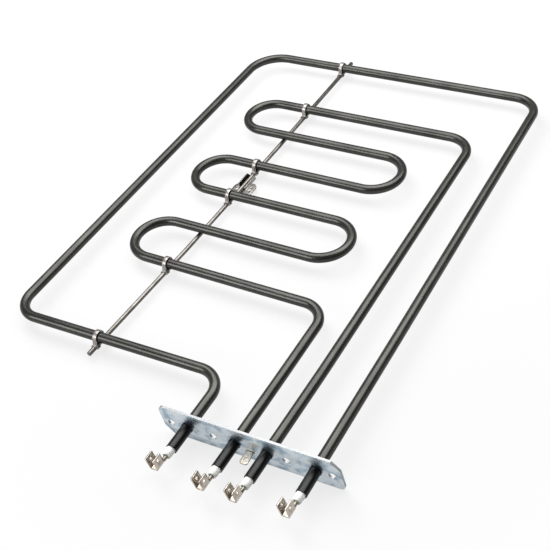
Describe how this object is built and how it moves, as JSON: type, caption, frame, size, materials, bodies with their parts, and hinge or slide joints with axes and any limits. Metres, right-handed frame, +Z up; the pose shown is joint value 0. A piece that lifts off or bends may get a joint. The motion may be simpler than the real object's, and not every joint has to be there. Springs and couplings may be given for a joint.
{
  "type": "tubular heating element",
  "caption": "Flat tubular heating element: a serpentine inside an outer loop, both ending in flag terminals at a drilled flange, tied to a support rod by strap clips.",
  "frame": {"origin": "middle of the flange's mounting face, level with the tube axes", "axes": "+X along the flange, +Y from the flange to the far end of the loops, +Z up, across the flat element"},
  "size_m": [0.2502, 0.408, 0.02],
  "materials": {
    "oxidised_steel": "heat-darkened, satin",
    "zinc_plate": "bright zinc plate",
    "plated_steel": "nickel or tin plate, satin",
    "stainless": "stainless, drawn",
    "ceramic": "unglazed"
  },
  "bodies": {
    "root": {"outer_sheath": "oxidised_steel", "inner_sheath": "oxidised_steel", "flange_plate": "zinc_plate", "earth_tab": "plated_steel", "support_rod": "stainless", "centre_bracket": "stainless", "ceramic_bead_1": "ceramic", "terminal_pin_1": "plated_steel", "flag_terminal_1": "plated_steel", "ceramic_bead_2": "ceramic", "terminal_pin_2": "plated_steel", "flag_terminal_2": "plated_steel", "ceramic_bead_3": "ceramic", "terminal_pin_3": "plated_steel", "flag_terminal_3": "plated_steel", "ceramic_bead_4": "ceramic", "terminal_pin_4": "plated_steel", "flag_terminal_4": "plated_steel", "strap_clip_near_run": "stainless", "strap_clip_row_1": "stainless", "strap_clip_row_3": "stainless", "strap_clip_row_4": "stainless", "strap_clip_row_6": "stainless", "strap_clip_far_run": "stainless"}
  },
  "joints": []
}
